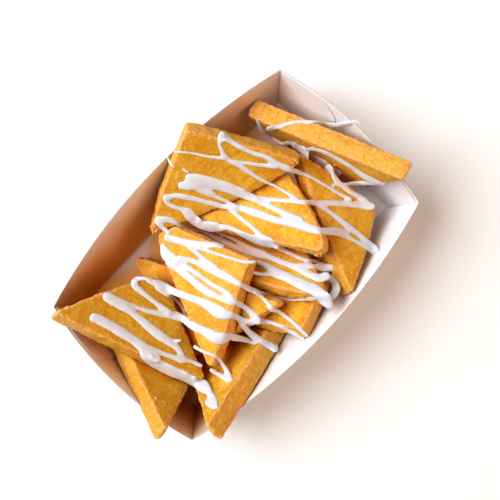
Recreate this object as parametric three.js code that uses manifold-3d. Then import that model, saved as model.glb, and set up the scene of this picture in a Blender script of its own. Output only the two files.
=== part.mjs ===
// An open food tray folded from white paperboard, heaped with thick fried corn chips.
// Lengths are in millimetres and +Z is up. The origin is at the middle of the tray's underside,
// +X runs along the tray's length and +Y across it.
// The tray is one solid, and each chip that shows is a solid of its own.
import * as THREE from "three";
import { mergeVertices } from "three/addons/utils/BufferGeometryUtils.js";
import Module from "manifold-3d";

const wasm = await Module();
wasm.setup();

// ---- The tray's driving dimensions ----
const BASE_LENGTH = 150;
const BASE_WIDTH = 82;
const RIM_LENGTH = 168; // between the rim's corners
const RIM_WIDTH = 98.5;
const CORNER_HEIGHT = 34;
const ARCH_HEIGHT = 12; // how much higher the rim is at the middle of a side
const LONG_BOW = 10; // how far the long rims bow outwards at their middle
const SHORT_BOW = 4.5;
const WALL_BELLY = 1.2; // the walls are a little rounded between the base and the rim
const BOARD = 0.6; // thickness of the paperboard

// ---- The glued corner flaps: tongues of the long walls, folded onto the short walls ----
const FLAP_LENGTH = 39;
const FLAP_THICKNESS = 0.5;
const FLAP_SINK = 0.3; // how deep a tongue's mesh reaches into the wall it is joined to
const FLAP_FOOT = 0.1; // where the tongue begins and ends, as shares of the wall's height
const FLAP_TOP = 0.97;
const FLAP_ROUND_END = 18; // length over which the tongue's end rounds off

// ---- The chips: half squares cut from a thick sheet of corn dough, then fried ----
const CHIP_THICKNESS = 11;
const TIP_RADIUS = 1.8; // blunt corners in plan
const ARRIS = 0.9; // height of the crisp edge between a face and a side
const ARRIS_RUN = 1.7; // how far it runs in over the face
const ARRIS_MIDDLE_IN = 0.3; // where its middle lies, inwards from the side
const ARRIS_MIDDLE_DOWN = 0.25; // and down from the face
const SIDE_BULGE = 0.4; // the cut sides are a little rounded across their thickness
const EDGE_BULGE = 0.8; // and along their length
const EDGE_WOBBLE = 0.4; // unevenness of the cut edges
const WOBBLE_TURN = 5; // how far the unevenness runs along an edge, in radians
const FACE_PUFF = 0.5; // the faces are a little domed
const GAP = 0.3; // clearance left between pieces that touch

// Each chip is given by the places of its upper face's three corners: the square corner, then
// the two tips, counterclockwise as seen on that face. Warp is how far the corners furthest from
// the middle bend up. A worn chip has blunter corners (tipRadii, in the order of the corners), and
// bulges are how far the edges after them swell outwards. Upper chips come before lower ones.
const CHIPS = [
  {
    name: "chip_back_top",
    corners: [[27, 59.5, 62], [-24.5, 39, 30], [57.5, 7, 48]],
    bulges: [EDGE_BULGE, 3.5, EDGE_BULGE],
    warp: 0.8,
  },
  {
    name: "chip_front_top",
    corners: [[3.5, -6.5, 52], [-17, 48, 27.5], [-52, -31, 43.5]],
    tipRadii: [TIP_RADIUS, 6.5, TIP_RADIUS],
    bulges: [0, EDGE_BULGE, EDGE_BULGE],
    thickness: 11.5,
    warp: -0.5,
  },
  {
    name: "chip_middle",
    corners: [[48, 10, 40], [-6.5, 35.5, 28], [33, -36, 57.5]],
    tipRadii: [TIP_RADIUS, TIP_RADIUS, 5],
    warp: 0.6,
  },
  {
    name: "chip_back_upright",
    corners: [[65, -14, 2], [83, -36, 61], [54, 48, 27]],
    warp: -0.6,
  },
  {
    name: "chip_front_left",
    corners: [[-34, 21.5, 28.5], [-82.5, 46, 61.5], [-57, -34.5, 35.5]],
    warp: 0.6,
  },
  {
    name: "chip_right_edge",
    corners: [[68.5, -36, 24], [60, 15.5, 37], [25, -57, 44]],
    thickness: 11.5,
    warp: 0.5,
  },
  {
    name: "chip_under_front",
    corners: [[-56.5, -19, 25.5], [-1.5, -33, 47], [-39, 40.5, 10.5]],
    warp: 0.4,
  },
  {
    name: "chip_front_corner",
    corners: [[-51.5, -22.5, 8], [-63, 38, 14], [-85.5, -35.5, 61]],
    warp: -0.6,
  },
  {
    name: "chip_under_middle",
    corners: [[36, 0, 16], [-29.7, 27.9, 15.8], [17, -49, 52.5]],
    bulges: [14, EDGE_BULGE, 0],
    thickness: 10,
    warp: 0.4,
  },
  {
    name: "chip_side_wall",
    corners: [[-4.5, -50, 45], [43, -34.5, 26], [-29, -10.5, 17.5]],
    thickness: 10,
    warp: 0.4,
  },
  {
    name: "chip_front_right",
    corners: [[-56, -19.5, 5.5], [-71.5, -48.5, 61.5], [5, -33.5, 14]],
    thickness: 12.5,
    warp: 0.5,
  },
];

// ---- Colours ----
const PAPER = { color: 0xf3eef4, roughness: 0.7, metalness: 0 };
const CRUST = { color: 0xd89a2e, roughness: 0.75, metalness: 0 };

// ---- Meshes and solids ----
// A closed mesh from points and triangles.
function meshFrom(points, triangles) {
  const coordinates = points.flatMap((point) => point.toArray());
  const geometry = new THREE.BufferGeometry();
  geometry.setAttribute("position", new THREE.Float32BufferAttribute(coordinates, 3));
  geometry.setIndex(triangles.flat());
  return geometry;
}

// The triangles between two neighbouring rings of equally many points, seen from outside with
// the first ring below the second and the points running counterclockwise from above.
function band(lower, upper, count) {
  const triangles = [];
  for (let i = 0; i < count; i++) {
    const next = (i + 1) % count;
    triangles.push([lower + i, lower + next, upper + next]);
    triangles.push([lower + i, upper + next, upper + i]);
  }
  return triangles;
}

// A fan that closes a ring at its middle point.
function fan(ring, middle, count, facesUp) {
  const triangles = [];
  for (let i = 0; i < count; i++) {
    const next = (i + 1) % count;
    triangles.push(facesUp ? [ring + i, ring + next, middle] : [ring + next, ring + i, middle]);
  }
  return triangles;
}

// A body closed by two fans, from rings that all have equally many points.
function lathed(rings, firstMiddle, lastMiddle) {
  const count = rings[0].length;
  const points = [...rings.flat(), firstMiddle, lastMiddle];
  const lastRing = (rings.length - 1) * count;
  const triangles = fan(0, points.length - 2, count, false);
  for (let start = 0; start < lastRing; start += count) {
    triangles.push(...band(start, start + count, count));
  }
  triangles.push(...fan(lastRing, points.length - 1, count, true));
  return meshFrom(points, triangles);
}

const MERGE_DISTANCE = 0.0001;
function solidOf(geometry) {
  const merged = mergeVertices(geometry, MERGE_DISTANCE);
  return new wasm.Manifold(
    new wasm.Mesh({
      numProp: 3,
      vertProperties: new Float32Array(merged.getAttribute("position").array),
      triVerts: new Uint32Array(merged.getIndex().array),
    }),
  );
}

function geometryOf(solid) {
  const mesh = solid.getMesh();
  const geometry = new THREE.BufferGeometry();
  geometry.setAttribute("position", new THREE.BufferAttribute(mesh.vertProperties, 3));
  geometry.setIndex(new THREE.BufferAttribute(mesh.triVerts, 1));
  geometry.computeVertexNormals();
  return geometry;
}

// ---- The tray ----
// A point of the wall: along is -1 to 1 between a side's corners, rise is 0 at the base and 1 at
// the rim, and inset moves it inwards from the board's outer face.
const halfLength = (rise) => THREE.MathUtils.lerp(BASE_LENGTH, RIM_LENGTH, rise) / 2;
const halfWidth = (rise) => THREE.MathUtils.lerp(BASE_WIDTH, RIM_WIDTH, rise) / 2;
const archAt = (along) => 1 - along * along; // 1 at a side's middle and 0 at its corners
const bowAt = (along, rise, rimBow) =>
  archAt(along) * (rise * rimBow + Math.sin(Math.PI * rise) * WALL_BELLY);
const heightAt = (along, rise) => rise * (CORNER_HEIGHT + archAt(along) * ARCH_HEIGHT);

function longWallPoint(sign, along, rise, inset) {
  const x = along * (halfLength(rise) - inset);
  const y = halfWidth(rise) - inset + bowAt(along, rise, LONG_BOW);
  return new THREE.Vector3(x, sign * y, heightAt(along, rise));
}

function shortWallPoint(sign, along, rise, inset) {
  const x = halfLength(rise) - inset + bowAt(along, rise, SHORT_BOW);
  const y = along * (halfWidth(rise) - inset);
  return new THREE.Vector3(sign * x, y, heightAt(along, rise));
}

// One ring round the tray, counterclockwise from above: each side runs from its first corner up
// to, but not including, the corner where the next side starts.
const LONG_STEPS = 20;
const SHORT_STEPS = 14;
function trayRing(rise, inset) {
  const ring = [];
  const side = (wallPoint, sign, from, steps) => {
    for (let i = 0; i < steps; i++) {
      const along = from * (1 - (2 * i) / steps);
      ring.push(wallPoint(sign, along, rise, inset));
    }
  };
  side(shortWallPoint, 1, -1, SHORT_STEPS);
  side(longWallPoint, 1, 1, LONG_STEPS);
  side(shortWallPoint, -1, 1, SHORT_STEPS);
  side(longWallPoint, -1, -1, LONG_STEPS);
  return ring;
}

// The shell of the tray, thicker by grow on each side of a wall, on the rim and on the floor.
const WALL_STEPS = 4;
function trayShell(grow) {
  const rimRise = 1 + grow / CORNER_HEIGHT;
  const outer = [];
  const inner = [];
  for (let i = 0; i <= WALL_STEPS; i++) {
    const rise = (rimRise * i) / WALL_STEPS;
    outer.push(trayRing(rise, -grow));
    inner.unshift(trayRing(rise, BOARD + grow));
  }
  inner.at(-1).forEach((point) => point.setZ(BOARD + grow));
  const underside = new THREE.Vector3(0, 0, 0);
  const floor = new THREE.Vector3(0, 0, BOARD + grow);
  return lathed([...outer, ...inner], underside, floor);
}

// A flap: a tongue on the inner face of a short wall, from one corner, with a round end.
const FLAP_COLUMNS = 10;
const FLAP_ROWS = 6;
const FLAP_START = 0.995; // just short of the corner, as a share of the half width
const FLAP_END_SHARE = 0.05; // the round end closes on a narrow edge, not on a point
function flapGeometry(wallSign, cornerSign, grow) {
  const skins = [BOARD - FLAP_SINK, BOARD + FLAP_THICKNESS + grow];
  const points = [];
  skins.forEach((inset) => {
    for (let c = 0; c <= FLAP_COLUMNS; c++) {
      // columns crowd towards the round end
      const share = Math.sin(((c / FLAP_COLUMNS) * Math.PI) / 2);
      const distance = share * FLAP_LENGTH;
      const past = Math.max(0, distance - (FLAP_LENGTH - FLAP_ROUND_END)) / FLAP_ROUND_END;
      const spread = Math.max(FLAP_END_SHARE, Math.sqrt(1 - past * past));
      const middle = (FLAP_TOP + FLAP_FOOT) / 2;
      const half = ((FLAP_TOP - FLAP_FOOT) / 2) * spread;
      for (let r = 0; r <= FLAP_ROWS; r++) {
        const rise = middle + half * (-1 + (2 * r) / FLAP_ROWS);
        const along = FLAP_START - distance / (RIM_WIDTH / 2);
        points.push(shortWallPoint(wallSign, cornerSign * along, rise, inset));
      }
    }
  });
  const rows = FLAP_ROWS + 1;
  const skinPoints = rows * (FLAP_COLUMNS + 1);
  const triangles = [];
  const quad = (a, b, c, d) => triangles.push([a, b, c], [a, c, d]);
  for (let c = 0; c < FLAP_COLUMNS; c++) {
    for (let r = 0; r < FLAP_ROWS; r++) {
      const a = c * rows + r;
      quad(a, a + 1, a + rows + 1, a + rows);
      const b = skinPoints + a;
      quad(b, b + rows, b + rows + 1, b + 1);
    }
    const foot = c * rows;
    quad(foot, foot + rows, skinPoints + foot + rows, skinPoints + foot);
    const top = foot + FLAP_ROWS;
    quad(top + rows, top, skinPoints + top, skinPoints + top + rows);
  }
  for (let r = 0; r < FLAP_ROWS; r++) {
    quad(r + 1, r, skinPoints + r, skinPoints + r + 1);
    const end = FLAP_COLUMNS * rows + r;
    quad(end, end + 1, skinPoints + end + 1, skinPoints + end);
  }
  if (wallSign * cornerSign < 0) triangles.forEach((t) => t.reverse());
  return meshFrom(points, triangles);
}

// The whole tray, thicker by grow.
function traySolid(grow) {
  let solid = solidOf(trayShell(grow));
  for (const wallSign of [-1, 1]) {
    for (const cornerSign of [-1, 1]) {
      solid = solid.add(solidOf(flapGeometry(wallSign, cornerSign, grow)));
    }
  }
  return solid;
}

// ---- A chip ----
// Its outline in plan: a triangle with blunt corners and slightly uneven edges.
const ARC_STEPS = 4;
const EDGE_STEPS = 6;
function chipOutline(corners, tipRadii, bulges, wobblePhase) {
  const outline = [];
  corners.forEach((corner, i) => {
    const before = corners[(i + 2) % 3];
    const after = corners[(i + 1) % 3];
    const fromBefore = corner.clone().sub(before).normalize();
    const toAfter = after.clone().sub(corner).normalize();
    const startAngle = fromBefore.angle() - Math.PI / 2;
    let turn = toAfter.angle() - fromBefore.angle();
    if (turn < 0) turn += 2 * Math.PI;
    // the arc's centre, so that it touches both edges
    const radius = tipRadii[i];
    const inwards = toAfter.clone().sub(fromBefore).normalize();
    const centre = corner.clone().addScaledVector(inwards, radius / Math.cos(turn / 2));
    for (let k = 0; k <= ARC_STEPS; k++) {
      const angle = startAngle + (turn * k) / ARC_STEPS;
      const spoke = new THREE.Vector2(Math.cos(angle), Math.sin(angle));
      outline.push(centre.clone().addScaledVector(spoke, radius));
    }
    // the cut edge, from the end of this arc to the start of the next one
    const next = corners[(i + 2) % 3].clone().sub(after).normalize();
    const nextTurn = Math.acos(toAfter.dot(next));
    const start = radius * Math.tan(turn / 2);
    const end = after.distanceTo(corner) - tipRadii[(i + 1) % 3] * Math.tan(nextTurn / 2);
    const sideways = new THREE.Vector2(toAfter.y, -toAfter.x);
    for (let k = 1; k < EDGE_STEPS; k++) {
      const share = k / EDGE_STEPS;
      const distance = THREE.MathUtils.lerp(start, end, share);
      const wobble = EDGE_WOBBLE * Math.sin(WOBBLE_TURN * (share + i) + wobblePhase);
      const outwards = Math.sin(Math.PI * share) * (bulges[i] + wobble);
      const point = corner.clone().addScaledVector(toAfter, distance);
      outline.push(point.addScaledVector(sideways, outwards));
    }
  });
  return outline;
}

// The chip's geometry, lying where its corners say, larger by grow all round.
function chipGeometry(chip, grow) {
  const thickness = chip.thickness ?? CHIP_THICKNESS;
  const [square, first, second] = chip.corners.map((c) => new THREE.Vector3(...c));
  const along = first.clone().sub(square).normalize();
  const normal = along.clone().cross(second.clone().sub(square)).normalize();
  const across = normal.clone().cross(along);
  const flat = [square, first, second].map((c) => {
    const offset = c.clone().sub(square);
    return new THREE.Vector2(offset.dot(along), offset.dot(across));
  });

  // a triangle shrinks evenly towards the middle of its inscribed circle
  const sides = flat.map((_, i) => flat[(i + 1) % 3].distanceTo(flat[(i + 2) % 3]));
  const perimeter = sides[0] + sides[1] + sides[2];
  const middle = new THREE.Vector2();
  flat.forEach((corner, i) => middle.addScaledVector(corner, sides[i] / perimeter));
  const inscribed = flat[1].clone().sub(flat[0]).cross(flat[2].clone().sub(flat[0])) / perimeter;
  const furthest = Math.max(...flat.map((corner) => corner.distanceTo(middle)));
  const tipRadii = chip.tipRadii ?? [TIP_RADIUS, TIP_RADIUS, TIP_RADIUS];
  const bulges = chip.bulges ?? [EDGE_BULGE, EDGE_BULGE, EDGE_BULGE];
  const outline = chipOutline(flat, tipRadii, bulges, square.x + square.y);

  // the side from the lower face to the upper one, as how far out and how high each ring lies
  const half = thickness / 2 + grow;
  const profile = [
    [grow - ARRIS_RUN, -half],
    [grow - ARRIS_MIDDLE_IN, -half + ARRIS_MIDDLE_DOWN],
    [grow, -half + ARRIS],
    [grow + SIDE_BULGE, 0],
    [grow, half - ARRIS],
    [grow - ARRIS_MIDDLE_IN, half - ARRIS_MIDDLE_DOWN],
    [grow - ARRIS_RUN, half],
  ];
  const place = (point, height) => {
    const bend = chip.warp * (point.distanceTo(middle) / furthest) ** 2;
    return square
      .clone()
      .addScaledVector(along, point.x)
      .addScaledVector(across, point.y)
      .addScaledVector(normal, height + bend - thickness / 2);
  };
  const rings = profile.map(([outwards, height]) =>
    outline.map((point) => {
      const scaled = point.clone().sub(middle).multiplyScalar(1 + outwards / inscribed);
      return place(scaled.add(middle), height);
    }),
  );
  return lathed(rings, place(middle, -half - FACE_PUFF), place(middle, half + FACE_PUFF));
}

// ---- The whole: upper chips keep their shape, and lower ones leave a gap where they touch ----
const group = new THREE.Group();

const tray = new THREE.Mesh(geometryOf(traySolid(0)), new THREE.MeshStandardMaterial(PAPER));
tray.name = "tray";
group.add(tray);

const trayWithGap = traySolid(GAP);
const placed = [];
for (const chip of CHIPS) {
  let solid = solidOf(chipGeometry(chip, 0)).subtract(trayWithGap);
  for (const above of placed) solid = solid.subtract(above);
  placed.push(solidOf(chipGeometry(chip, GAP)));
  const mesh = new THREE.Mesh(geometryOf(solid), new THREE.MeshStandardMaterial(CRUST));
  mesh.name = chip.name;
  group.add(mesh);
}

export default group;
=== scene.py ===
import math

import bpy
import numpy as np
from mathutils import Matrix, Vector
from mathutils.bvhtree import BVHTree


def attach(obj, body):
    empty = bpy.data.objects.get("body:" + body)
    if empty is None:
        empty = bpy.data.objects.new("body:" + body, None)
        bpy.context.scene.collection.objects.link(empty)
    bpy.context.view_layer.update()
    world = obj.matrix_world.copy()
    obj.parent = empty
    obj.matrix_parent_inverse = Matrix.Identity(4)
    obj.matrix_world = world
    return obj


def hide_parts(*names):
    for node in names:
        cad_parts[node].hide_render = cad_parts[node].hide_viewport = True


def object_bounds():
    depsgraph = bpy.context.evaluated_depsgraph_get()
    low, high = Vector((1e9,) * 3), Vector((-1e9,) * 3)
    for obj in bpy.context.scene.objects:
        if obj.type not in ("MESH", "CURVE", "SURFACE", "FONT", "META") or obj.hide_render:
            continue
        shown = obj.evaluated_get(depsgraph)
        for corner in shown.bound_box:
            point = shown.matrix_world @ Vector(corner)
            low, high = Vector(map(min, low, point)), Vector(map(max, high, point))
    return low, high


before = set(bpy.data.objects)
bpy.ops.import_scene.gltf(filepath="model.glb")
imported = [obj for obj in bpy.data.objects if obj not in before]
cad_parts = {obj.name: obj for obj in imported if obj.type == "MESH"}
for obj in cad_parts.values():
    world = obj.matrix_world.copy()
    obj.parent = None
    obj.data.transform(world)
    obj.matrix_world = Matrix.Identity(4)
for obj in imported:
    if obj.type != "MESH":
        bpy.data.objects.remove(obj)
cad_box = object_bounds()


# ---- The view, the table and the light ----
# The tray stands on a plain white table, under a camera that looks straight down at it and is
# turned so that the tray lies aslant in the frame. A soft white lamp stands half way up over the
# left of the frame, a warm card lightens the shaded sides, and the room glows a little.
EYE = Vector((0.0066, -0.0034, 0.620))
EYE_TURN = math.radians(-46.25)
LENS = 82.73
FILM = 36.0
FRAME_SIDE = 500

bpy.ops.object.camera_add(location=EYE, rotation=(0, 0, EYE_TURN))
eye = bpy.context.object
eye.name = "eye"
eye.data.sensor_width = FILM
eye.data.lens = LENS
eye.data.clip_start = 0.01
bpy.context.scene.camera = eye

TABLE_SIDE = 4.0
TABLE_DROP = 0.0002  # the table lies a hair under the tray
bpy.ops.mesh.primitive_plane_add(size=TABLE_SIDE, location=(0, 0, -TABLE_DROP))
table = bpy.context.object
table.name = "table"

LAMP_AWAY = 1.3
LAMP_TURN = math.radians(120)  # from the tray's +X
LAMP_RISE = math.radians(50)
LAMP_WIDTH = 1.15
LAMP_POWER = 18.6
LAMP_COLOUR = (0.97, 0.98, 1.0)
CARD_AWAY = 1.2
CARD_TURN = math.radians(-60)
CARD_RISE = math.radians(28)
CARD_WIDTH = 0.9
CARD_POWER = 4.3
CARD_COLOUR = (1.0, 0.42, 0.12)


def soft_light(name, away, turn, rise, width, power, colour):
    """A round lamp at that distance, turned from +X and raised, that faces the tray."""
    way = Matrix.Rotation(turn, 3, "Z") @ Vector((math.cos(rise), 0, math.sin(rise)))
    facing = way.to_track_quat("Z", "Y").to_euler()
    bpy.ops.object.light_add(type="AREA", location=way * away, rotation=facing)
    light = bpy.context.object
    light.name = name
    light.data.shape = "DISK"
    light.data.size = width
    light.data.energy = power
    light.data.color = colour


soft_light("lamp", LAMP_AWAY, LAMP_TURN, LAMP_RISE, LAMP_WIDTH, LAMP_POWER, LAMP_COLOUR)
soft_light("card", CARD_AWAY, CARD_TURN, CARD_RISE, CARD_WIDTH, CARD_POWER, CARD_COLOUR)

ROOM_COLOUR = (1.0, 0.91, 0.86, 1)
ROOM_GLOW = 0.27
room = bpy.data.worlds.new("room")
room.use_nodes = True
room.node_tree.nodes["Background"].inputs["Color"].default_value = ROOM_COLOUR
room.node_tree.nodes["Background"].inputs["Strength"].default_value = ROOM_GLOW
bpy.context.scene.world = room
bpy.context.scene.view_settings.view_transform = "Standard"
bpy.context.scene.view_settings.look = "Medium High Contrast"


class Level:
    """A number that varies over a surface. Sums on it are written as plain Python."""

    def __init__(self, finish, socket):
        self.finish = finish
        self.socket = socket

    def _with(self, operation, first, second):
        sums = {"operation": operation}
        return self.finish.node("ShaderNodeMath", sums, {0: first, 1: second})

    def __add__(self, other):
        return self._with("ADD", self, other)

    def __radd__(self, other):
        return self._with("ADD", other, self)

    def __sub__(self, other):
        return self._with("SUBTRACT", self, other)

    def __rsub__(self, other):
        return self._with("SUBTRACT", other, self)

    def __mul__(self, other):
        return self._with("MULTIPLY", self, other)

    def __rmul__(self, other):
        return self._with("MULTIPLY", other, self)


class Finish:
    """One material, put together from nodes on Object coordinates."""

    def __init__(self, name):
        self.material = bpy.data.materials.new(name)
        self.material.use_nodes = True
        self.tree = self.material.node_tree
        self.shader = self.tree.nodes["Principled BSDF"]

    def node(self, kind, settings=None, inputs=None, output=0):
        made = self.tree.nodes.new(kind)
        for setting, value in (settings or {}).items():
            if setting == "stops":
                ramp = made.color_ramp.elements
                while len(ramp) < len(value):
                    ramp.new(0.5)
                for stop, (place, colour) in zip(ramp, value):
                    stop.position = place
                    stop.color = colour
            else:
                setattr(made, setting, value)
        for socket, value in (inputs or {}).items():
            if isinstance(value, Level):
                self.tree.links.new(value.socket, made.inputs[socket])
            else:
                made.inputs[socket].default_value = value
        return Level(self, made.outputs[output])

    def place(self):
        return self.node("ShaderNodeTexCoord", output="Object")

    def axis(self, name):
        """The X, Y or Z of a point, in metres."""
        return self.node("ShaderNodeSeparateXYZ", {}, {"Vector": self.place()}, name)

    def speckle(self, size, detail=3.0, roughness=0.55, stretch=(1, 1, 1), shift=(0, 0, 0)):
        """Soft random patches about size metres across, from 0 to 1."""
        vector = self.node(
            "ShaderNodeMapping", {}, {"Vector": self.place(), "Scale": stretch, "Location": shift}
        )
        scale = {"Vector": vector, "Scale": 1 / size, "Detail": detail, "Roughness": roughness}
        return self.node("ShaderNodeTexNoise", {}, scale, "Fac")

    def between(self, value, low, high):
        """0 below low, 1 above high, and a smooth rise between them."""
        ends = {"Value": value, "From Min": low, "From Max": high}
        return self.node("ShaderNodeMapRange", {"interpolation_type": "SMOOTHSTEP"}, ends)

    def attribute(self, name):
        """A number that a piece's points hold, as marked put it there."""
        return self.node("ShaderNodeAttribute", {"attribute_name": name}, {}, "Fac")

    def mix(self, first, second, share):
        """The first colour where share is 0, the second where it is 1."""
        ends = {"Factor": share, 6: first, 7: second}
        return self.node("ShaderNodeMix", {"data_type": "RGBA"}, ends, 2)

    def bump(self, height, depth):
        """Surface relief: depth in metres for a height that runs from 0 to 1."""
        relief = {"Height": height, "Distance": depth, "Strength": 1.0}
        return self.node("ShaderNodeBump", {}, relief)

    def use(self, socket, value):
        """Gives a socket of the shader a fixed value, or one that varies."""
        if isinstance(value, Level):
            self.tree.links.new(value.socket, self.shader.inputs[socket])
        else:
            self.shader.inputs[socket].default_value = value


TABLE_WHITE = (0.92, 0.98, 1.0, 1)
TABLE_GREY = (0.90, 0.96, 0.98, 1)
TABLE_CLOUD = 0.12
table_top = Finish("table_top")
clouds = table_top.speckle(TABLE_CLOUD)
table_top.use("Base Color", table_top.mix(TABLE_GREY, TABLE_WHITE, clouds))
table_top.use("Roughness", 0.6)
table.data.materials.append(table_top.material)


# ---- The tray ----
# One blank of bleached white paperboard, creased and folded up into a shallow boat. Tongues at
# the ends of the long walls are folded round the corners and glued inside the short walls.
BASE_LENGTH = 0.150
BASE_WIDTH = 0.082
RIM_LENGTH = 0.168
RIM_WIDTH = 0.0985
CORNER_HEIGHT = 0.034
ARCH_HEIGHT = 0.012  # the rims rise this much from their corners to their middles
LONG_BOW = 0.010
SHORT_BOW = 0.0045
WALL_BELLY = 0.0012
BOARD = 0.0006
TONGUE_LENGTH = 0.039
TONGUE_ROUND_END = 0.018
TONGUE_THICKNESS = 0.0005
TONGUE_GLUED_IN = 0.0002
TONGUE_FOOT = 0.1  # its lower and upper border, as shares of the wall's height
TONGUE_TOP = 0.97
TONGUE_START = 0.995  # share of the wall's half width at which it starts
TONGUE_END_SHARE = 0.05  # its least height at the round end


def half_length(rise):
    return (BASE_LENGTH + (RIM_LENGTH - BASE_LENGTH) * rise) / 2


def half_width(rise):
    return (BASE_WIDTH + (RIM_WIDTH - BASE_WIDTH) * rise) / 2


def bow(along, rise, rim_bow):
    return (1 - along * along) * (rise * rim_bow + math.sin(math.pi * rise) * WALL_BELLY)


def height(along, rise):
    return rise * (CORNER_HEIGHT + (1 - along * along) * ARCH_HEIGHT)


def long_wall(side):
    def place(along, up):
        rise = (up + 1) / 2
        out = half_width(rise) + bow(along, rise, LONG_BOW)
        return along * half_length(rise), side * out, height(along, rise)

    return place


def short_wall(side, inset=0.0):
    def place(along, up):
        rise = (up + 1) / 2
        out = half_length(rise) - inset + bow(along, rise, SHORT_BOW)
        return side * out, along * (half_width(rise) - inset), height(along, rise)

    return place


def tray_floor(along, across):
    return along * BASE_LENGTH / 2, across * BASE_WIDTH / 2, 0.0


def tongue(side, corner):
    wall = short_wall(side, BOARD + TONGUE_THICKNESS)

    def place(along, up):
        distance = TONGUE_LENGTH * math.sin((along + 1) / 2 * math.pi / 2)
        past = max(0.0, distance - (TONGUE_LENGTH - TONGUE_ROUND_END)) / TONGUE_ROUND_END
        spread = max(TONGUE_END_SHARE, math.sqrt(max(0.0, 1 - past * past)))
        middle = (TONGUE_TOP + TONGUE_FOOT) / 2
        rise = middle + (TONGUE_TOP - TONGUE_FOOT) / 2 * spread * up
        reach = TONGUE_START - distance / (RIM_WIDTH / 2)
        return wall(corner * reach, 2 * rise - 1)

    return place


def shaped_grid(name, columns, rows, place):
    """A flat grid whose points are moved to where place puts them."""
    bpy.ops.object.select_all(action="DESELECT")
    bpy.ops.mesh.primitive_grid_add(x_subdivisions=columns, y_subdivisions=rows, size=2)
    piece = bpy.context.object
    piece.name = name
    for point in piece.data.vertices:
        point.co = place(point.co.x, point.co.y)
    return piece


def joined(pieces, name):
    bpy.ops.object.select_all(action="DESELECT")
    for piece in pieces:
        piece.select_set(True)
    bpy.context.view_layer.objects.active = pieces[0]
    if len(pieces) > 1:
        bpy.ops.object.join()
    pieces[0].name = name
    return pieces[0]


def applied(piece, kind, **settings):
    """Adds a modifier to a piece and applies it."""
    bpy.ops.object.select_all(action="DESELECT")
    piece.select_set(True)
    bpy.context.view_layer.objects.active = piece
    modifier = piece.modifiers.new(kind.lower(), kind)
    for setting, value in settings.items():
        setattr(modifier, setting, value)
    bpy.ops.object.modifier_apply(modifier=modifier.name)
    return piece


LENGTH_STEPS = 72
WIDTH_STEPS = 40
RISE_STEPS = 18
MERGE = 1e-6
shell = joined(
    [
        shaped_grid("tray_floor", LENGTH_STEPS, WIDTH_STEPS, tray_floor),
        shaped_grid("long_wall_back", LENGTH_STEPS, RISE_STEPS, long_wall(1)),
        shaped_grid("long_wall_front", LENGTH_STEPS, RISE_STEPS, long_wall(-1)),
        shaped_grid("short_wall_right", WIDTH_STEPS, RISE_STEPS, short_wall(1)),
        shaped_grid("short_wall_left", WIDTH_STEPS, RISE_STEPS, short_wall(-1)),
    ],
    "paper_tray",
)
bpy.ops.object.mode_set(mode="EDIT")
bpy.ops.mesh.select_all(action="SELECT")
bpy.ops.mesh.remove_doubles(threshold=MERGE)
bpy.ops.mesh.normals_make_consistent(inside=False)
bpy.ops.object.mode_set(mode="OBJECT")
base_face = min(shell.data.polygons, key=lambda face: face.center.length)
if base_face.normal.z > 0:  # the blank's outer side faces outwards and down
    shell.data.flip_normals()

BOARD_WHITE = (0.94, 0.94, 0.98, 1)
BOARD_WARM = (0.92, 0.89, 0.93, 1)
# Inside the tray, painted shade: a deep orange that stands in for shade lit by the chips' warm
# reflected light. It lies on the walls that face away from the lamp, low on the floor and in the
# gaps between chips.
PAINTED_WARM_SHADE = (0.84, 0.41, 0.07, 1)
FIBRE_SIZE = 0.0016
CLOUD_SIZE = 0.021
PAINTED_SHADE_FULL = 0.010  # painted shade, warm as if lit by the chips' reflected light, is full up to this height and pales from it
PAINTED_SHADE_TOP = 0.060  # to nothing at this one, above the rims
PAINTED_SHADE_BORDER = 0.006  # how far its border wanders up and down
PAINTED_SHADE_SLANT = 0.8  # y less this share of x says how near a point is to the -X, +Y corner, whose walls face away from the lamp
PAINTED_SHADE_NONE = -0.06
PAINTED_SHADE_MOST = 0.03
PAINTED_SHADE_FLOOR = 0.45  # how strong it is on the floor
PAINTED_SHADE_WALL = 0.5  # what the walls add, from their foot up
PAINTED_SHADE_GAP = 0.5  # what the gaps between chips add
WALL_FOOT = 0.006
GAP_START = 0.3  # shallower gaps than this add nothing


def board_finish(name, painted_shade):
    """Bleached paperboard: faint fibres and clouds, and inside the tray painted shade in a warm
    orange.
    """
    board = Finish(name)
    fibre = board.speckle(FIBRE_SIZE, detail=5, roughness=0.65)
    cloud = board.between(board.speckle(CLOUD_SIZE, detail=2), 0.35, 0.7)
    colour = board.mix(BOARD_WHITE, BOARD_WARM, cloud * 0.6 + fibre * 0.25)
    # painted shade, warmed as if by the chips' reflected light
    if painted_shade:
        low = 1 - board.between(board.axis("Z") + cloud * PAINTED_SHADE_BORDER, PAINTED_SHADE_FULL, PAINTED_SHADE_TOP)
        wall = board.between(board.axis("Z"), 0.0, WALL_FOOT)
        among = board.between(board.attribute("gap"), GAP_START, 1.0)
        near = board.between(board.axis("Y") - board.axis("X") * PAINTED_SHADE_SLANT, PAINTED_SHADE_NONE, PAINTED_SHADE_MOST)
        shade_share = low * near * (PAINTED_SHADE_FLOOR + wall * PAINTED_SHADE_WALL) + among * near * PAINTED_SHADE_GAP
        colour = board.mix(colour, PAINTED_WARM_SHADE, board.between(shade_share, 0.0, 1.0))
    board.use("Base Color", colour)
    board.use("Roughness", 0.42 + fibre * 0.2)
    board.use("Normal", board.bump(fibre, 0.00005))
    board.use("Specular IOR Level", 0.4)
    return board


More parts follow.
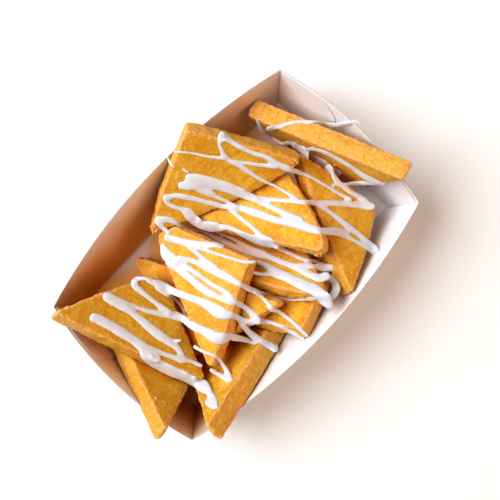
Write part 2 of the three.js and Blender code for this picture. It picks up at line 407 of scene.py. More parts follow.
board = board_finish("white_board", False)
board_inside = board_finish("white_board_inside", True)
CUT_PALE = (0.66, 0.60, 0.58, 1)
CUT_GREY = (0.52, 0.47, 0.45, 1)
CUT_SIZE = 0.0009
cut_edge = Finish("board_cut_edge")
cut_edge.use("Base Color", cut_edge.mix(CUT_PALE, CUT_GREY, cut_edge.speckle(CUT_SIZE)))
cut_edge.use("Roughness", 0.8)
for finish in (board, cut_edge, board_inside):
    shell.data.materials.append(finish.material)

SOFT_EDGE = 0.00012
SHARP = 0.8  # in radians: only edges that turn by more than this are softened
applied(
    shell,
    "SOLIDIFY",
    thickness=BOARD,
    offset=-1,
    use_even_offset=True,
    use_rim=True,
    material_offset_rim=1,
    material_offset=2,
)
applied(shell, "BEVEL", width=SOFT_EDGE, segments=2, limit_method="ANGLE", angle_limit=SHARP)

SMOOTH_UNDER = math.radians(40)  # edges that turn by less than this are shaded smooth
TONGUE_STEPS = 22
TONGUE_ROWS = 16
tongues = []
for side in (-1, 1):
    for corner in (-1, 1):
        piece = shaped_grid("corner_tongue", TONGUE_STEPS, TONGUE_ROWS, tongue(side, corner))
        if piece.data.polygons[0].normal.x * side > 0:
            piece.data.flip_normals()
        for finish in (board_inside, cut_edge):
            piece.data.materials.append(finish.material)
        applied(
            piece,
            "SOLIDIFY",
            thickness=TONGUE_THICKNESS + TONGUE_GLUED_IN,
            offset=-1,
            use_even_offset=True,
            use_rim=True,
            material_offset_rim=1,
        )
        tongues.append(piece)
tray = joined([shell] + tongues, "paper_tray")
bpy.ops.object.shade_smooth_by_angle(angle=SMOOTH_UNDER)
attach(tray, "root")
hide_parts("tray")


# ---- The chips ----
# Eleven thick half squares of corn dough, cut with a blade, fried golden and puffed a little.
# The broad faces are smooth and mottled, the cut edges crisp, paler and worn in places.
VOXEL = 0.00048
ROUNDING = 2  # passes of smoothing that take the hard arrises off
SWELL_SIZE = 0.011
SWELL = 0.0005
SWELL_MIDDLE = 0.62  # where the noise has this value, a point stays where it is
PITTING_SIZE = 0.0030
PITTING = 0.00040
PITTING_MIDDLE = 0.6
WAVE_SIZE = 0.007  # the cut sides wander in and out
WAVE = 0.0019
NIBBLE_SIZE = 0.0024
NIBBLE = 0.0008
CUT_MIDDLE = 0.56
CRUMBLE_SIZE = 0.0017
CRUMBLE = 0.0013
CRUMBLE_MIDDLE = 0.62
KEPT_SHARE = 0.4  # of a point's own value, in one pass of evening out
EDGE_PASSES = 60
EDGE_REACH = 0.0009  # how proud of its softened self a sharp edge stands
MARGIN_PASSES = 90
WEIGHT_STEPS = 25
CLEAR = 0.0025
TONES = {  # how much darker than the palest chips these were fried, from 0 to 1
    "chip_back_top": 0.25,
    "chip_back_upright": 0.05,
    "chip_front_left": 0.42,
    "chip_front_corner": 0.38,
    "chip_front_right": 0.18,
    "chip_right_edge": 0.22,
    "chip_under_front": 0.15,
    "chip_under_middle": 0.22,
    "chip_side_wall": 0.08,
}


def relief(name, size, depth=2):
    """A cloudy noise with lumps about size metres across, for moving points in and out."""
    texture = bpy.data.textures.new(name, "CLOUDS")
    texture.noise_scale = size
    texture.noise_depth = depth
    return texture


swelling = relief("swelling", SWELL_SIZE, 1)
pitting = relief("pitting", PITTING_SIZE, 2)
waves = relief("waves", WAVE_SIZE, 1)
nibbles = relief("nibbles", NIBBLE_SIZE, 2)
crumble = relief("crumble", CRUMBLE_SIZE, 3)


def point_arrays(piece):
    """Where a piece's points are and which way its surface faces there."""
    arrays = []
    for kind in ("co", "normal"):
        values = np.empty(len(piece.data.vertices) * 3)
        piece.data.vertices.foreach_get(kind, values)
        arrays.append(values.reshape(-1, 3))
    return arrays


def softened(piece, values, passes):
    """Numbers on a piece's points, evened out with their neighbours' again and again."""
    count = len(values)
    ends = np.empty(len(piece.data.edges) * 2, np.int64)
    piece.data.edges.foreach_get("vertices", ends)
    first, second = ends.reshape(-1, 2).T
    links = np.bincount(first, minlength=count) + np.bincount(second, minlength=count)
    for _ in range(passes):
        total = np.empty_like(values)
        for column in range(values.shape[1]):
            total[:, column] = np.bincount(first, values[second, column], count)
            total[:, column] += np.bincount(second, values[first, column], count)
        values = KEPT_SHARE * values + (1 - KEPT_SHARE) * total / links[:, None]
    return values


def edge_levels(piece):
    """For each point of a piece, 1 on its sharp edges and 0 on its flats and hollows."""
    place, normal = point_arrays(piece)
    proud = ((place - softened(piece, place, EDGE_PASSES)) * normal).sum(axis=1)
    return np.clip(proud / EDGE_REACH, 0, 1)


def side_levels(piece):
    """For each point of a piece, 1 on its cut sides and 0 on its two broad faces."""
    place, normal = point_arrays(piece)
    _, axes = np.linalg.eigh(np.cov(place.T))
    return 1 - np.abs(normal @ axes[:, 0])


def weighted(piece, name, levels):
    """A vertex group that holds a number from 0 to 1 for each point."""
    group = piece.vertex_groups.new(name=name)
    steps = np.round(levels * WEIGHT_STEPS).astype(int)
    for step in range(1, WEIGHT_STEPS + 1):
        group.add(np.flatnonzero(steps == step).tolist(), step / WEIGHT_STEPS, "REPLACE")


def marked(piece, name, levels):
    """Keeps a number for each point, for the material to read."""
    layer = piece.data.attributes.new(name, "FLOAT", "POINT")
    layer.data.foreach_set("value", levels.astype(np.float32))


def surface_of(pieces):
    """The pieces' surfaces together, to find where a line meets them or what lies nearest."""
    points = []
    faces = []
    for piece in pieces:
        first = len(points)
        points.extend(point.co.copy() for point in piece.data.vertices)
        faces.extend([first + i for i in face.vertices] for face in piece.data.polygons)
    return BVHTree.FromPolygons(points, faces)


def kept_clear(chip, plain):
    """Near the tray a chip's relief fades out, so that no crust is pushed through the board."""
    place, _ = point_arrays(chip)
    for i, point in enumerate(plain):
        distance = tray_surface.find_nearest(point, CLEAR)[3]
        if distance is not None:
            place[i] = point + (place[i] - point) * distance / CLEAR
    chip.data.vertices.foreach_set("co", place.ravel())
    chip.data.update()


tray_surface = surface_of([tray])


def fried(node_name):
    """A chip's CAD solid copied, merged and given its crust: swelling, pits and worn edges."""
    bpy.ops.object.select_all(action="DESELECT")
    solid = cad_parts[node_name]
    solid.select_set(True)
    bpy.context.view_layer.objects.active = solid
    bpy.ops.object.duplicate()
    chip = bpy.context.object
    chip.name = "fried_" + node_name
    chip.data.materials.clear()
    bpy.ops.object.mode_set(mode="EDIT")
    bpy.ops.mesh.select_all(action="SELECT")
    bpy.ops.mesh.remove_doubles(threshold=MERGE)
    bpy.ops.object.mode_set(mode="OBJECT")
    applied(chip, "REMESH", mode="VOXEL", voxel_size=VOXEL, use_smooth_shade=True)
    applied(chip, "SMOOTH", factor=0.5, iterations=ROUNDING)
    plain, _ = point_arrays(chip)
    applied(chip, "DISPLACE", texture=swelling, strength=SWELL, mid_level=SWELL_MIDDLE)
    applied(chip, "DISPLACE", texture=pitting, strength=PITTING, mid_level=PITTING_MIDDLE)
    weighted(chip, "cut", side_levels(chip))
    on_cut = {"mid_level": CUT_MIDDLE, "vertex_group": "cut"}
    applied(chip, "DISPLACE", texture=waves, strength=WAVE, **on_cut)
    applied(chip, "DISPLACE", texture=nibbles, strength=NIBBLE, **on_cut)
    weighted(chip, "worn", edge_levels(chip))
    on_worn = {"mid_level": CRUMBLE_MIDDLE, "vertex_group": "worn"}
    applied(chip, "DISPLACE", texture=crumble, strength=CRUMBLE, **on_worn)
    applied(chip, "SMOOTH", factor=0.5, iterations=1)
    kept_clear(chip, plain)
    chip.vertex_groups.clear()
    edges = edge_levels(chip)
    marked(chip, "edge", edges)
    marked(chip, "margin", softened(chip, edges[:, None], MARGIN_PASSES)[:, 0])
    marked(chip, "side", side_levels(chip))
    marked(chip, "tone", np.full(len(edges), TONES.get(node_name, 0.0)))
    return chip


GOLD = (0.88, 0.515, 0.046, 1)
OCHRE = (0.77, 0.33, 0.008, 1)
AMBER = (0.68, 0.26, 0.003, 1)
BUTTER = (0.95, 0.64, 0.130, 1)
SIDE = (0.90, 0.48, 0.115, 1)
PALE = (0.94, 0.58, 0.23, 1)
DEEP = (0.45, 0.235, 0.0, 1)
CRUST_GAP_SHADE = (0.66, 0.17, 0.002, 1)
TOAST = (0.74, 0.27, 0.010, 1)
BROAD_SIZE = 0.019
BLOTCH_SIZE = 0.0075
PATCH_SIZE = 0.0040
FLECK_SIZE = 0.0019
SPECK_SIZE = 0.0017
SPECKS_APART = (5, 2, 7)  # so that the dark specks don't fall on the pale flecks
GRAIN_SIZE = 0.00045
CRUST_RELIEF = 0.00026
crust = Finish("fried_corn_crust")
blotch = crust.between(crust.speckle(BLOTCH_SIZE, detail=3, roughness=0.6), 0.42, 0.68)
patches = crust.between(crust.speckle(PATCH_SIZE, detail=4, roughness=0.7), 0.42, 0.62)
flecks = crust.between(crust.speckle(FLECK_SIZE, detail=4, roughness=0.75), 0.46, 0.66)
dark = crust.speckle(SPECK_SIZE, detail=4, roughness=0.75, shift=SPECKS_APART)
specks = crust.between(dark, 0.47, 0.68)
grain = crust.speckle(GRAIN_SIZE, detail=2)
broad = crust.between(crust.speckle(BROAD_SIZE, detail=2), 0.42, 0.66)
side = crust.between(crust.attribute("side"), 0.35, 0.80)
margin = crust.between(crust.attribute("margin") + patches * 0.06, 0.06, 0.36)
rim = crust.between(crust.attribute("edge") + flecks * 0.3, 0.22, 0.85)
colour = crust.mix(GOLD, OCHRE, patches * 0.9)
colour = crust.mix(colour, BUTTER, blotch * 0.8)
colour = crust.mix(colour, AMBER, broad * 0.65)
colour = crust.mix(colour, TOAST, margin * 0.7)
colour = crust.mix(colour, SIDE, side * 0.65)
colour = crust.mix(colour, BUTTER, flecks * 0.75)
colour = crust.mix(colour, AMBER, specks * 0.75)
colour = crust.mix(colour, DEEP, crust.attribute("tone"))
colour = crust.mix(colour, PALE, rim * 0.6)
# painted shade in the gaps between chips
colour = crust.mix(colour, CRUST_GAP_SHADE, crust.attribute("gap") * 0.85)
crust.use("Base Color", colour)
crust.use("Roughness", 0.52 - patches * 0.14)
crust.use("Normal", crust.bump(grain * 0.35 + flecks * 0.7 + patches * 0.4, CRUST_RELIEF))
crust.use("Specular IOR Level", 0.22)

chips = []
for node_name in sorted(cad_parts):
    if node_name.startswith("chip_"):
        chip = fried(node_name)
        chip.data.materials.append(crust.material)
        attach(chip, "root")
        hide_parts(node_name)
        chips.append(chip)

# In the gaps between chips the crust, the board and the sauce are painted a deeper orange: painted
# shade, warmed as if by the chips' reflected light.
GAP_STEP = 0.002
GAP_REACH = 5  # steps on each side over which the chips' height is averaged
GAP_DEPTH = 0.012  # so far below that height the painted gap shade is at its deepest orange
GAP_PASSES = 20


def gap_shade_levels(piece):
    """How deep the painted gap shade lies at each point of a piece: 0 on top of the chips and up to
    1 in a gap between them.
    """
    low = Vector(cad_box[0])
    columns, rows = (int((high - start) / GAP_STEP) + 1 for start, high in zip(low.xy, cad_box[1]))
    heights = np.zeros((columns, rows))
    for column in range(columns):
        for row in range(rows):
            over = Vector((low.x + column * GAP_STEP, low.y + row * GAP_STEP, EYE.z))
            hit, _, _, _ = chip_surface.ray_cast(over, Vector((0, 0, -1)))
            heights[column, row] = hit.z if hit is not None else 0
    wide = np.pad(heights, GAP_REACH, mode="edge")
    reach = range(2 * GAP_REACH + 1)
    around = sum(wide[i : i + columns, k : k + rows] for i in reach for k in reach)
    around /= len(reach) ** 2
    place, _ = point_arrays(piece)
    column = np.clip(((place[:, 0] - low.x) / GAP_STEP).round().astype(int), 0, columns - 1)
    row = np.clip(((place[:, 1] - low.y) / GAP_STEP).round().astype(int), 0, rows - 1)
    levels = np.clip((around[column, row] - place[:, 2]) / GAP_DEPTH, 0, 1)
    return softened(piece, levels[:, None], GAP_PASSES)[:, 0]


chip_surface = surface_of(chips)
for piece in chips + [tray]:
    marked(piece, "gap", gap_shade_levels(piece))


# ---- The crumbs ----
# Bits of crust that broke off where a chip was cut and fried on again. They sit in clusters,
# each given by its middle as seen from above, how far it spreads, and how many bits it has.
CLUSTERS = {
    "back_chip_left_corner": (153.5, 229, 6, 30),
    "back_chip_right_end": (295, 162, 9, 9),
    "middle_chip_right_corner": (320, 255, 7, 18),
    "middle_chip_lower_edge": (292, 254, 13, 9),
    "upright_chip_lower_edge": (335, 168, 20, 8),
    "upright_chip_upper_edge": (285, 109, 13, 7),
    "left_chip_upper_edge": (115, 287, 16, 6),
    "corner_chip_side": (140, 400, 22, 6),
}
CRUMB_SMALL = 0.00035
CRUMB_LARGE = 0.00085
CRUMB_SUNK = 0.35  # share of a crumb's size that is in the crust below it
CRUMB_ROUGHNESS = (0.72, 1.15)  # least and most share of its radius that a point keeps
CRUMB_STRETCH = (0.7, 1.25)
CRUMB_SEED = 11
# the crumbs take a little of the painted gap shade too
CRUMB_LEVELS = {"edge": 0.7, "margin": 0.3, "side": 0.5, "tone": 0.15, "gap": 0.1}

picture = Matrix.Rotation(EYE_TURN, 3, "Z")
sight_step = FILM / LENS / FRAME_SIDE


def sight(across, down):
    """The way from the camera through a point of the frame, for each metre down."""
    half = FRAME_SIDE / 2
    return picture @ Vector(((across - half) * sight_step, (half - down) * sight_step, -1))


def crumb(place, size, random):
    """One bit of crust: a small ball with each point pushed in or out."""
    bpy.ops.object.select_all(action="DESELECT")
    bpy.ops.mesh.primitive_ico_sphere_add(subdivisions=2, radius=size, location=place)
    bit = bpy.context.object
    for point in bit.data.vertices:
        point.co *= random.uniform(*CRUMB_ROUGHNESS)
    bit.scale = random.uniform(*CRUMB_STRETCH, 3)
    bpy.ops.object.transform_apply(location=True, rotation=True, scale=True)
    return bit


random = np.random.default_rng(CRUMB_SEED)
bits = []
for across, down, spread, count in CLUSTERS.values():
    for _ in range(count):
        way = sight(*(random.normal(0, spread / 2, 2) + (across, down))).normalized()
        hit, normal, _, _ = chip_surface.ray_cast(EYE, way)
        if hit is not None:
            size = random.uniform(CRUMB_SMALL, CRUMB_LARGE)
            bits.append(crumb(hit + normal * size * (1 - 2 * CRUMB_SUNK), size, random))
crumbs = joined(bits, "crust_crumbs")
bpy.ops.object.shade_smooth()
for name, level in CRUMB_LEVELS.items():
    marked(crumbs, name, np.full(len(crumbs.data.vertices), level))
crumbs.data.materials.append(crust.material)
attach(crumbs, "root")


# ---- The sauce ----
# A thick white cream sauce drizzled over the chips from a nozzle, in strands that lie where they
# fell, loop back and hang over the edges. Where they cross or touch they run into one skin.
# Each strand is given by its turning points as seen from above: across and down in the frame,
# and how wide the strand is there. What it lies on settles its height.
STRANDS = {
    "rim_bit": ((167, 156, 2.5), (172, 165.5, 3), (174.5, 167.5, 2)),
    "crest": ((175, 151.5, 3), (190, 153, 3), (208, 156.5, 3.5), (223, 158.5, 4)),
    "peak_left": (
        (222, 134, 6), (219.5, 139, 5), (222, 151, 5), (225, 156.5, 5.5), (238, 165, 5),
        (246, 170, 5), (261, 179.5, 4.5), (275, 186, 3.5), (296, 198.5, 5),
    ),
    "peak_right": (
        (222, 134, 6), (232, 142, 6), (253, 153, 5), (267, 157.5, 5.5), (278, 164.5, 6.5),
        (292, 170, 6), (311, 177, 4), (325, 185, 4), (341, 194.5, 4.5), (350, 199, 4.5),
    ),
    "peak_fill": ((222, 136, 7), (222, 139, 7)),
    "peak_shelf": ((234, 161, 3), (244, 162.5, 3.5), (260, 165, 4.5), (276, 166.5, 5.5)),
    "bar": (
        (191, 179.5, 13), (199, 181.5, 15), (207, 182, 12.5), (224, 186.5, 11), (241, 192.5, 10.5),
        (256, 198.5, 8), (271, 199.5, 5.5), (289, 201, 5), (303, 202, 5.5), (320, 203, 6.5),
        (344, 203.5, 7), (371, 206, 8.5),
    ),
    "bar_lobe_low": ((181.5, 185.5, 8), (188, 185.5, 10), (196, 185, 9)),
    "bar_spike": ((182, 169, 2), (188.5, 172.5, 2.5)),
    "bar_under": (
        (190, 187, 4), (200, 189.5, 7), (209, 192.5, 8), (217, 197, 5), (226, 201, 4),
        (236, 206.5, 5),
    ),
    "far_diagonal": (
        (311, 203.5, 4), (317, 204.5, 5), (328, 211, 5), (346, 225, 7), (370, 244, 6),
        (375, 249, 6.5), (376, 253, 5),
    ),
    "loop_upper": (
        (166.5, 198, 8), (172, 196, 6), (188, 197.5, 6), (204, 201.5, 5), (220, 205.5, 6),
        (241, 208, 7), (249, 210.5, 8.5), (280, 221, 8), (296, 223.5, 10), (312, 229, 9.5),
        (320, 231, 8), (336, 231.5, 9.5), (343, 233.5, 9), (350, 238, 5.5), (365, 246.5, 5),
        (375, 253, 6),
    ),
    "loop_lower": (
        (166.5, 198.5, 8), (167.5, 202, 6.5), (176, 207.5, 4.5), (182, 209.5, 6), (188, 213, 11),
        (192, 217.5, 11), (202, 225, 8.5), (209, 226.5, 10), (222, 227.5, 8),
    ),
    "under_blob": (
        (223, 227, 7), (229, 227.5, 5.5), (241, 233.5, 5), (262, 242, 7.5), (269, 244, 6.5),
        (284, 250, 5.5), (298, 257, 5), (318, 262.5, 4.5), (331, 267.5, 6.5),
    ),
    "middle_branch": ((256, 200, 7), (270, 206.5, 6.5), (286, 214, 7), (300, 220.5, 9)),
    "thin_diagonal": (
        (229, 208.5, 5), (241, 218.5, 5), (253, 228, 5), (264, 238, 6.5), (270, 242, 7.5),
        (277, 246.5, 5.5),
    ),
    "shade_upper": (
        (217, 231.5, 4), (231, 237.5, 4), (251, 248.5, 5.5), (264, 254, 7), (273, 258.5, 6.5),
        (285, 263, 6.5), (297, 267.5, 8), (305, 272, 8), (313, 276, 8), (320, 278, 9),
        (326, 276, 9),
    ),
    "corner_upper": (
        (158.5, 219.5, 8), (170, 220, 6.5), (182, 226.5, 4.5), (204, 232.5, 4.5), (212, 236, 5.5),
        (244, 251, 6), (260, 256.5, 4), (268, 258, 3.5),
    ),
    "corner_lower": ((157.5, 221, 8), (161.5, 226, 6), (169.5, 233.5, 5)),
    "fan_top": (
        (167.5, 237.5, 8.5), (181, 241.5, 8), (195, 245, 9.5), (216, 245, 5), (223, 246.5, 3.5),
    ),
    "fan_thin": ((199, 248.5, 4.5), (214, 253, 4), (230, 258, 4), (250, 262.5, 4), (255, 262, 3.5)),
    "fan_one": ((190, 247.5, 6), (196, 252.5, 5), (208, 263, 6.5), (215, 268.5, 8)),
    "fan_mass": ((163, 246, 6), (164.5, 251, 10), (173, 260, 12), (179, 261, 9)),
    "fan_two": (
        (179, 258, 6), (193, 261, 6), (207, 268.5, 6.5), (221, 274, 9.5), (235, 281.5, 7),
        (255, 291, 5), (268, 294, 4), (289, 299, 4), (316, 298.5, 4.5),
    ),
    "fan_three": (
        (176, 261, 7), (183, 264.5, 6), (212, 284.5, 5.5), (227, 293.5, 6), (231.5, 298, 6),
    ),
    "fan_four": (
        (169, 263.5, 7), (176, 268, 7), (190, 278.5, 8), (204, 289.5, 8.5), (211, 294, 8.5),
        (218, 297, 6.5), (231, 302.5, 7),
    ),
    "fan_five": (
        (136, 279.5, 6.5), (141, 278.5, 5), (153, 282, 6.5), (160, 284.5, 8.5), (174, 291.5, 8.5),
        (190, 297.5, 8), (206, 304, 10), (220, 312.5, 13.5), (225, 314.5, 12),
    ),
    "fan_six": (
        (185, 319.5, 8), (191, 324.5, 9), (205, 331.5, 10), (211, 335, 12.5), (215, 338.5, 11),
    ),
    "edge_line": ((158, 288, 6), (172, 297.5, 5), (182, 307.5, 3), (186, 318, 5)),
    "foot_hook": (
        (194.5, 346.5, 5), (199, 349.5, 4), (211, 354.5, 4), (216, 356.5, 4.5), (223, 365, 4.5),
        (228.5, 376, 7.5), (229, 379, 8.5),
    ),
    "foot_barb": ((228, 379, 7.5), (222, 376, 5.5), (211.5, 370, 4.5)),
    "side_one": ((231, 300.5, 7), (238, 303.5, 6.5), (251, 312.5, 7), (257, 320.5, 9)),
    "side_two": ((225, 314.5, 11), (232, 315.5, 8), (246, 321, 5.5), (253, 322.5, 6)),
    "side_three": ((236, 316.5, 5), (243.5, 326, 6), (252.5, 335, 7.5), (275, 348.5, 7.5)),
    "side_patch": (
        (217, 338, 13), (222, 338.5, 12.5), (228, 336.5, 8.5), (235, 337.5, 7), (255, 342.5, 5),
    ),
    "spill": ((257, 321, 8), (264, 321, 6), (283, 327.5, 4), (297, 335, 4.5), (303, 337.5, 5)),
    "low_diagonal": (
        (256, 291.5, 5), (261, 296, 4), (268.5, 304.5, 5), (272, 309, 6.5), (276.5, 310.5, 5),
        (286.5, 317, 4.5), (307, 336, 4),
    ),
    "pool_upper": ((297, 266, 6), (304, 265.5, 6), (311, 266, 5), (320, 267, 8), (332, 268, 8)),
    "pool_fill": ((318, 272, 9), (325, 271, 10)),
    "pool_feed": ((253, 272.5, 4.5), (262, 274, 4.5), (270, 274, 4.5), (280, 277, 6)),
    "pool_lower": (
        (257, 261.5, 5), (266, 265.5, 6.5), (273, 269.5, 8), (281, 274, 9), (290, 278.5, 10.5),
        (299, 283, 11.5), (308, 287, 12), (316, 290.5, 12.5), (322, 296, 12), (327, 302, 12.5),
        (329, 305, 9),
    ),
    "pool_arch": (
        (324, 277, 9), (331, 278.5, 7), (335, 283, 7.5), (336, 289, 7.5), (333, 295, 7),
        (328, 300, 8),
    ),
    "upright_top": (
        (268, 129, 4), (280, 126.5, 5), (292, 122.5, 4.5), (316, 123, 5), (331, 125.5, 4.5),
        (346, 123.5, 4), (358.5, 122, 4), (361.5, 124.5, 3),
    ),
    "upright_left": (
        (257.5, 121, 4), (263.5, 130.5, 6), (268.5, 133, 5), (277.5, 141, 4.5), (283, 143.5, 4),
        (289.5, 142.5, 4.5), (296, 143.5, 4.5),
    ),
    "upright_knot": ((294, 146.5, 3.5), (299, 147.5, 6), (306, 154.5, 5.5), (307.5, 158, 3.5)),
    "upright_long": ((306, 149.5, 3), (312, 149, 3.5), (344, 162, 4), (373, 180, 5), (384, 183, 4)),
    "upright_return": ((384, 183.5, 4), (366, 183, 4), (348, 184, 4), (333, 185, 4)),
    "shade_pool": ((309, 152, 4), (320, 162, 7.5), (334, 170, 7), (339, 174, 5)),
    "shade_drip": ((328, 168, 7), (336.5, 180, 6), (342, 185.5, 5.5), (367, 201.5, 6)),
    "left_bar": (
        (108, 297, 11), (114, 300.5, 11), (126, 308, 9), (131, 311.5, 7), (141, 320, 8),
        (153, 330, 9.5), (160, 335.5, 9.5), (169, 341.5, 8), (177.5, 348, 6.5), (184, 358, 5.5),
    ),
    "left_spur": ((170, 340.5, 5), (180, 340.5, 3.5)),
    "left_limb": (
        (117, 300.5, 8), (131, 305, 5), (145, 310, 5), (159, 313.5, 6.5), (175, 315.5, 9),
        (183, 318.5, 8.5),
    ),
    "left_loop": (
        (134.5, 281.5, 7.5), (134.5, 285, 7), (139.5, 290, 6), (151.5, 299.5, 5), (169, 312.5, 7),
    ),
    "low_bar": (
        (94.5, 317.5, 10), (108, 324, 10), (122, 332.5, 10), (134, 340, 9), (143, 347, 10),
        (151, 353.5, 9), (157, 359, 8),
    ),
    "low_branch": (
        (148, 348, 7), (157, 351.5, 6), (166, 354.8, 5), (176, 357.8, 6), (181.5, 359.5, 8),
        (189, 360.5, 4.8), (201, 365.5, 4),
    ),
    "low_band": (
        (143, 349, 8), (144.5, 354, 9.5), (150, 360, 11), (160, 365.5, 12), (171.5, 371, 12),
        (183.5, 376, 11), (195, 382, 11.5), (204.5, 387, 12.5), (210, 394, 8), (212, 400, 12),
        (211.5, 403.5, 14.5),
    ),
}
FLOW_STEP = 1.0  # in the frame's own steps
STEEPEST = 1.2  # a strand that leaves an edge comes down no steeper than this
SAG_PASSES = 10
LAST_PASSES = 3
BRIDGED = 8  # half the width of the gaps that a strand crosses without sinking, in steps
OFF_EDGE = 0.03  # height of a strand whose first points are over nothing
LEAST_FLAT = 0.45  # on ground steeper than this, a strand's own slope grows no further
SAUCE_TALL = 0.48  # height of a strand above what it lies on, as a share of its half width
SAUCE_TALLEST = 0.0012
SAUCE_UNDER = 0.50
SAUCE_LEAST_UNDER = 0.0006
SAUCE_MORE = 0.00013  # smoothing takes about this much off all round
RING_POINTS = 14
END_RINGS = 4
END_GAP = 0.3  # of a ring's step, left at a strand's tip for its closing face
SAUCE_VOXEL = 0.00036
SAUCE_PASSES = 32
RIPPLE_SIZE = 0.006
RIPPLE = 0.0004
SAUCE_MOST = 190000


def smooth_run(points):
    """Fine steps on the smooth curve through a strand's turning points."""
    knots = [Vector(point) for point in points]
    knots = [2 * knots[0] - knots[1]] + knots + [2 * knots[-1] - knots[-2]]
    spans = [max(1e-6, (b.xy - a.xy).length) for a, b in zip(knots, knots[1:])]
    run = []
    for i in range(1, len(knots) - 2):
        start, end, span = knots[i], knots[i + 1], spans[i]
        before = (start - knots[i - 1]) / spans[i - 1]
        after = (knots[i + 2] - end) / spans[i + 1]
        here = (end - start) / span
        leave = (before * span + here * spans[i - 1]) / (span + spans[i - 1]) * span
        arrive = (after * span + here * spans[i + 1]) / (span + spans[i + 1]) * span
        steps = max(2, round(span / FLOW_STEP))
        for k in range(steps):
            t = k / steps
            ease = t * t * (3 - 2 * t)
            bend = leave * t * (1 - t) ** 2 - arrive * t * t * (1 - t)
            run.append(start.lerp(end, ease) + bend)
    run.append(knots[-2])
    return run


def eased(values, passes):
    """Numbers along a line, each evened out with the two beside it, passes times."""
    for _ in range(passes):
        middle = (values[:-2] + 2 * values[1:-1] + values[2:]) / 4
        values = np.concatenate([values[:1], middle, values[-1:]])
    return values


def filled(values, reach):
    """A profile whose dips narrower than twice reach steps are filled in."""
    for pick in (np.max, np.min):
        wide = np.pad(values, reach, mode="edge")
        values = pick([wide[i : i + len(values)] for i in range(2 * reach + 1)], axis=0)
    return values


def laid(points, ground):
    """The strand's line, half widths and the slope under it, where it lies on the ground."""
    run = smooth_run(points)
    heights = []
    slopes = []
    for across, down, _ in run:
        hit, normal, _, _ = ground.ray_cast(EYE, sight(across, down).normalized())
        if hit is None:
            heights.append(heights[-1] if heights else OFF_EDGE)
            slopes.append(slopes[-1] if slopes else (0.0, 0.0))
        else:
            heights.append(hit.z)
            flat = max(LEAST_FLAT, abs(normal.z))
            slopes.append((-normal.x / flat, -normal.y / flat))
    heights = filled(np.array(heights), BRIDGED)
    fall = STEEPEST * sight_step * (EYE.z - heights.mean())
    gaps = np.abs(np.subtract.outer(np.arange(len(run)), np.arange(len(run)))) * fall
    bridged = (heights[None, :] - gaps).max(axis=1)
    settled = np.maximum(eased(bridged, SAG_PASSES), heights)
    settled = eased(settled, LAST_PASSES)
    slopes = np.array(slopes)
    slopes = np.stack([eased(slopes[:, 0], SAG_PASSES), eased(slopes[:, 1], SAG_PASSES)], axis=1)
    line = []
    halves = []
    for (across, down, width), z in zip(run, settled):
        depth = EYE.z - z
        line.append(EYE + sight(across, down) * depth)
        halves.append(width / 2 * sight_step * depth + SAUCE_MORE)
    return line, halves, slopes


def strand_mesh(line, halves, slopes):
    """A closed tube on the strand's line: flat below, round above, with round ends."""
    ways = [(b - a) for a, b in zip([line[0]] + line[:-1], line[1:] + [line[-1]])]
    rings = []
    for i, (middle, half, way) in enumerate(zip(line, halves, ways)):
        way = way.normalized()
        level = Vector((-way.y, way.x, 0))
        level = level.normalized() if level.length > 1e-6 else Vector((0, 1, 0))
        side = level + Vector((0, 0, slopes[i][0] * level.x + slopes[i][1] * level.y))
        up = way.cross(side).normalized()
        rings.append((middle, half, side, up, way))
    closing = []
    for k in range(END_RINGS, 0, -1):
        angle = k / (END_RINGS + END_GAP) * math.pi / 2
        closing.append((math.sin(angle), math.cos(angle)))
    middle, half, side, up, way = rings[0]
    start = [(middle - way * half * out, half, side, up, size) for out, size in closing]
    body = [(m, h, s, u, 1.0) for m, h, s, u, _ in rings]
    middle, half, side, up, way = rings[-1]
    end = [(middle + way * half * out, half, side, up, size) for out, size in reversed(closing)]
    points = []
    for middle, half, side, up, size in start + body + end:
        tall = min(SAUCE_TALL * half, SAUCE_TALLEST) * size
        under = max(SAUCE_UNDER * half, SAUCE_LEAST_UNDER) * size
        for k in range(RING_POINTS):
            angle = 2 * math.pi * k / RING_POINTS
            rise = math.sin(angle)
            lift = up * rise * (tall if rise > 0 else under)
            points.append(middle + side * math.cos(angle) * half * size + lift)
    ring_count = len(points) // RING_POINTS
    faces = []
    for ring in range(ring_count - 1):
        for k in range(RING_POINTS):
            a = ring * RING_POINTS + k
            b = ring * RING_POINTS + (k + 1) % RING_POINTS
            faces.append((a, a + RING_POINTS, b + RING_POINTS, b))
    faces.append(tuple(range(RING_POINTS)))
    last = (ring_count - 1) * RING_POINTS
    faces.append(tuple(reversed(range(last, last + RING_POINTS))))
    return points, faces


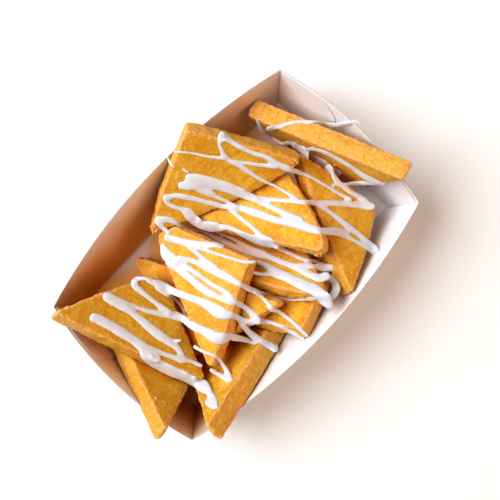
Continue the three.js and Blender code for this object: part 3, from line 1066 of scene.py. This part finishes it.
ground = surface_of(chips + [tray, crumbs])
points = []
faces = []
for turning_points in STRANDS.values():
    strand_points, strand_faces = strand_mesh(*laid(turning_points, ground))
    first = len(points)
    points.extend(strand_points)
    faces.extend(tuple(first + i for i in face) for face in strand_faces)
mesh = bpy.data.meshes.new("cream_sauce")
mesh.from_pydata(points, [], faces)
sauce = bpy.data.objects.new("cream_sauce", mesh)
bpy.context.scene.collection.objects.link(sauce)
applied(sauce, "REMESH", mode="VOXEL", voxel_size=SAUCE_VOXEL, use_smooth_shade=True)
applied(sauce, "SMOOTH", factor=0.5, iterations=SAUCE_PASSES)
ripple = relief("ripple", RIPPLE_SIZE, 1)
applied(sauce, "DISPLACE", texture=ripple, strength=RIPPLE, mid_level=0.5)
size = sum(len(face.vertices) - 2 for face in sauce.data.polygons)
if size > SAUCE_MOST:
    applied(sauce, "DECIMATE", ratio=SAUCE_MOST / size)
bpy.ops.object.select_all(action="DESELECT")
sauce.select_set(True)
bpy.context.view_layer.objects.active = sauce
bpy.ops.object.shade_smooth()

marked(sauce, "gap", gap_shade_levels(sauce))
CREAM = (0.69, 0.73, 0.785, 1)
CREAM_WARM = (0.71, 0.715, 0.75, 1)
CREAM_GAP_SHADE = (0.90, 0.60, 0.48, 1)  # painted shade: in the gaps between chips the sauce is a darker warm pink, as if in shade lit by the chips
CREAM_DEPTH = 0.0018  # how far light goes into the sauce
STREAK_SIZE = 0.005
CREAM_GRAIN = 0.0016
cream = Finish("cream_sauce")
streak = cream.speckle(STREAK_SIZE, detail=2)
creamy = cream.mix(CREAM, CREAM_WARM, streak)
# painted shade in the gaps between chips
cream.use("Base Color", cream.mix(creamy, CREAM_GAP_SHADE, cream.attribute("gap")))
cream.use("Roughness", 0.48 + streak * 0.12)
cream.use("Normal", cream.bump(cream.speckle(CREAM_GRAIN, detail=2), 0.00005))
cream.use("Specular IOR Level", 0.3)
cream.use("Subsurface Weight", 0.5)
cream.use("Subsurface Radius", (1.0, 0.65, 0.45))
cream.use("Subsurface Scale", CREAM_DEPTH)
sauce.data.materials.append(cream.material)
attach(sauce, "root")
